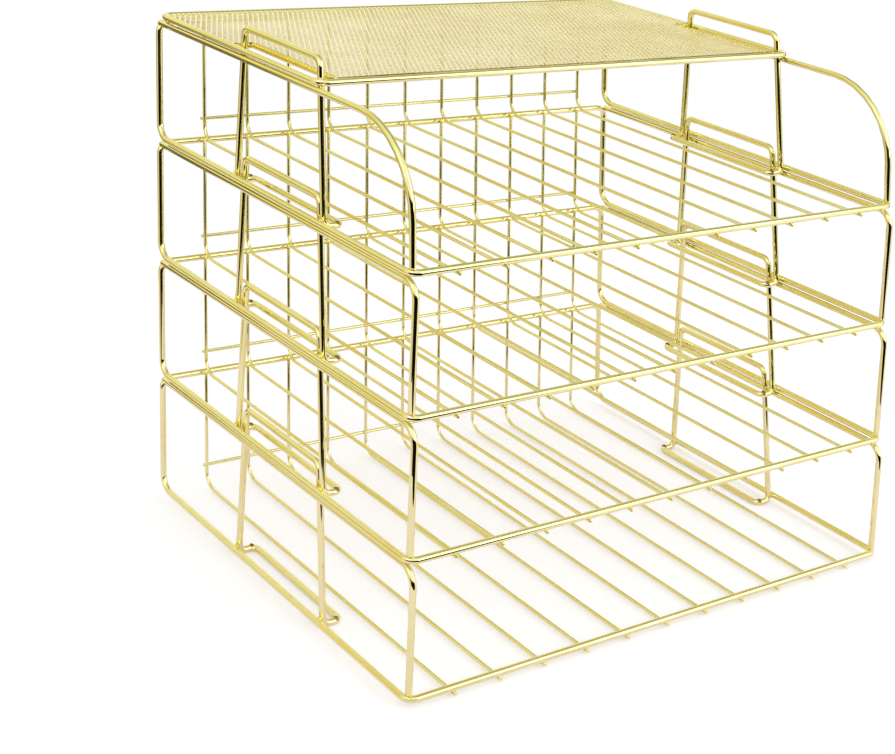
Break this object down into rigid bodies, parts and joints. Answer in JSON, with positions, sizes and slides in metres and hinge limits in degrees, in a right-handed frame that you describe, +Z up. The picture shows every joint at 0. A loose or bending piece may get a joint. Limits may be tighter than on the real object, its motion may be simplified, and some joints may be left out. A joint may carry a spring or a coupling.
{
  "type": "document rack",
  "caption": "Desk rack of stacked wire trays for paper, with open fronts, side locking loops and a mesh-topped lid; each tray lifts off the one below.",
  "frame": {"origin": "centre of the rack's footprint, on the surface that it stands on", "axes": "+Z up, +Y from the open front to the rear, +X to the right as seen from the front"},
  "size_m": [0.3158, 0.2464, 0.2827],
  "materials": {
    "gold_wire": "polished",
    "gold_slat": "polished",
    "gold_mesh": "satin"
  },
  "bodies": {
    "bottom_tray": {"bottom_frame": "gold_wire", "bottom_side_wire_left": "gold_wire", "bottom_side_wire_right": "gold_wire", "bottom_loop_left": "gold_wire", "bottom_loop_right": "gold_wire", "bottom_slats": "gold_slat"},
    "second_tray": {"second_frame": "gold_wire", "second_side_wire_left": "gold_wire", "second_side_wire_right": "gold_wire", "second_loop_left": "gold_wire", "second_loop_right": "gold_wire", "second_slats": "gold_slat"},
    "third_tray": {"third_frame": "gold_wire", "third_side_wire_left": "gold_wire", "third_side_wire_right": "gold_wire", "third_loop_left": "gold_wire", "third_loop_right": "gold_wire", "third_slats": "gold_slat"},
    "top_tray": {"top_frame": "gold_wire", "top_side_wire_left": "gold_wire", "top_side_wire_right": "gold_wire", "top_loop_left": "gold_wire", "top_loop_right": "gold_wire", "top_slats": "gold_slat"},
    "lid": {"lid_border": "gold_wire", "lid_slot_wire_left": "gold_wire", "lid_slot_wire_right": "gold_wire", "lid_mesh": "gold_mesh"}
  },
  "joints": [
    {"name": "second_tray_lift", "type": "slide", "parent": "bottom_tray", "child": "second_tray", "axis": [0, 0, 1], "range_m": [0, 0.03]},
    {"name": "third_tray_lift", "type": "slide", "parent": "second_tray", "child": "third_tray", "axis": [0, 0, 1], "range_m": [0, 0.03]},
    {"name": "top_tray_lift", "type": "slide", "parent": "third_tray", "child": "top_tray", "axis": [0, 0, 1], "range_m": [0, 0.03]},
    {"name": "lid_lift", "type": "slide", "parent": "top_tray", "child": "lid", "axis": [0, 0, 1], "range_m": [0, 0.03]}
  ]
}
